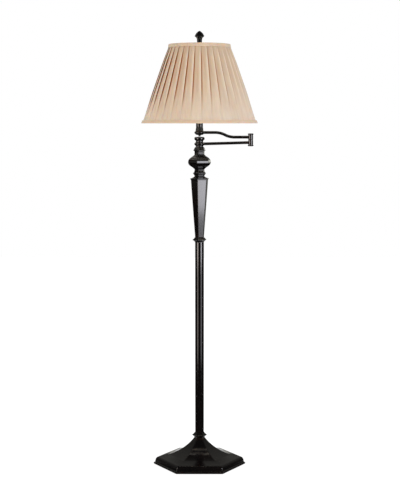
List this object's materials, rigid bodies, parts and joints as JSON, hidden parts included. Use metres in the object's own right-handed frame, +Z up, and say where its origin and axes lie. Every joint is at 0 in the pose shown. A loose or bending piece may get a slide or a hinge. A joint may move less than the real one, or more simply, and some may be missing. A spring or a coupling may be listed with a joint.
{
  "type": "swing arm floor lamp",
  "caption": "Floor lamp with a six-sided cast base and spindle, a folding swing arm and a pleated fabric shade on a harp.",
  "frame": {"origin": "on the floor, at the column's axis", "axes": "+Z up the column; the folded arm reaches along +X; the front faces -Y"},
  "size_m": [0.3993, 0.3994, 1.5037],
  "materials": {
    "bronze_metal": "near-black bronze lacquer, glossy, brown at the edges",
    "zinc_steel": "zinc-plated threaded steel",
    "grey_iron": "rough grey iron",
    "felt": "black felt",
    "black_plastic": "black moulding",
    "plain_brass": "plain turned brass",
    "antique_brass": "browned brass",
    "liner_board": "pressed fibre board",
    "bulb_nickel": "bright aluminium screw cap",
    "frosted_glass": "soft white glass",
    "white_wire": "off-white lacquered wire",
    "shade_backing": "cream styrene sheet",
    "pleated_cloth": "tan plain-weave cloth with knife pleats",
    "trim_cloth": "tan bias tape"
  },
  "bodies": {
    "stand": {"base_pad": "felt", "base_casting": "bronze_metal", "base_weight": "grey_iron", "base_washer": "zinc_steel", "base_nut": "zinc_steel", "base_nipple": "zinc_steel", "cord_bushing": "black_plastic", "base_collar": "bronze_metal", "lower_pole_plug": "zinc_steel", "lower_pole": "bronze_metal", "pole_coupler": "zinc_steel", "upper_pole": "bronze_metal", "upper_pole_plug": "zinc_steel", "pole_collar": "bronze_metal", "vase": "bronze_metal", "spindle_ring": "bronze_metal", "spindle_ball": "bronze_metal", "spindle_dome": "bronze_metal", "column_rod": "zinc_steel", "pivot_sleeve": "plain_brass", "lower_thrust_washer": "black_plastic", "upper_thrust_washer": "black_plastic", "column_cap": "bronze_metal"},
    "lower_arm": {"arm_hub": "bronze_metal", "lower_arm_tube": "bronze_metal", "elbow_lower_barrel": "bronze_metal", "elbow_pin": "zinc_steel", "elbow_washer": "black_plastic", "elbow_nut": "zinc_steel", "elbow_bottom_cap": "bronze_metal"},
    "upper_arm": {"elbow_upper_barrel": "bronze_metal", "elbow_top_cap": "bronze_metal", "upper_arm_tube": "bronze_metal", "socket_cup": "bronze_metal", "cup_button": "bronze_metal", "socket_nipple": "zinc_steel", "harp_saddle": "antique_brass", "socket_cap": "antique_brass", "socket_shell": "antique_brass", "socket_insulator": "liner_board", "socket_body": "black_plastic", "screw_shell": "plain_brass", "centre_contact": "plain_brass", "bulb_cap": "bulb_nickel", "bulb_glass": "frosted_glass", "harp": "antique_brass", "shade_fitter": "white_wire", "bottom_ring": "white_wire", "shade_liner": "shade_backing", "pleated_fabric": "pleated_cloth", "top_trim": "trim_cloth", "bottom_trim": "trim_cloth", "finial": "bronze_metal"},
    "switch": {"switch_shaft": "antique_brass", "switch_knob": "black_plastic"},
    "left_lock": {"harp_lock_left": "antique_brass"},
    "right_lock": {"harp_lock_right": "antique_brass"}
  },
  "joints": [
    {"name": "column_swing", "type": "hinge", "parent": "stand", "child": "lower_arm", "pos_m": [0, 0, 1.12005], "axis": [0, 0, 1], "range_deg": [-170, 170]},
    {"name": "elbow_swing", "type": "hinge", "parent": "lower_arm", "child": "upper_arm", "pos_m": [0.1755, 0, 1.1347], "axis": [0, 0, 1], "range_deg": [-170, 170]},
    {"name": "switch_turn", "type": "hinge", "parent": "upper_arm", "child": "switch", "pos_m": [0, -0.0195, 1.2145], "axis": [0, -1, 0], "continuous": true},
    {"name": "left_lock_slide", "type": "slide", "parent": "upper_arm", "child": "left_lock", "axis": [0, 0, 1], "range_m": [0, 0.01]},
    {"name": "right_lock_slide", "type": "slide", "parent": "upper_arm", "child": "right_lock", "axis": [0, 0, 1], "range_m": [0, 0.01]}
  ]
}
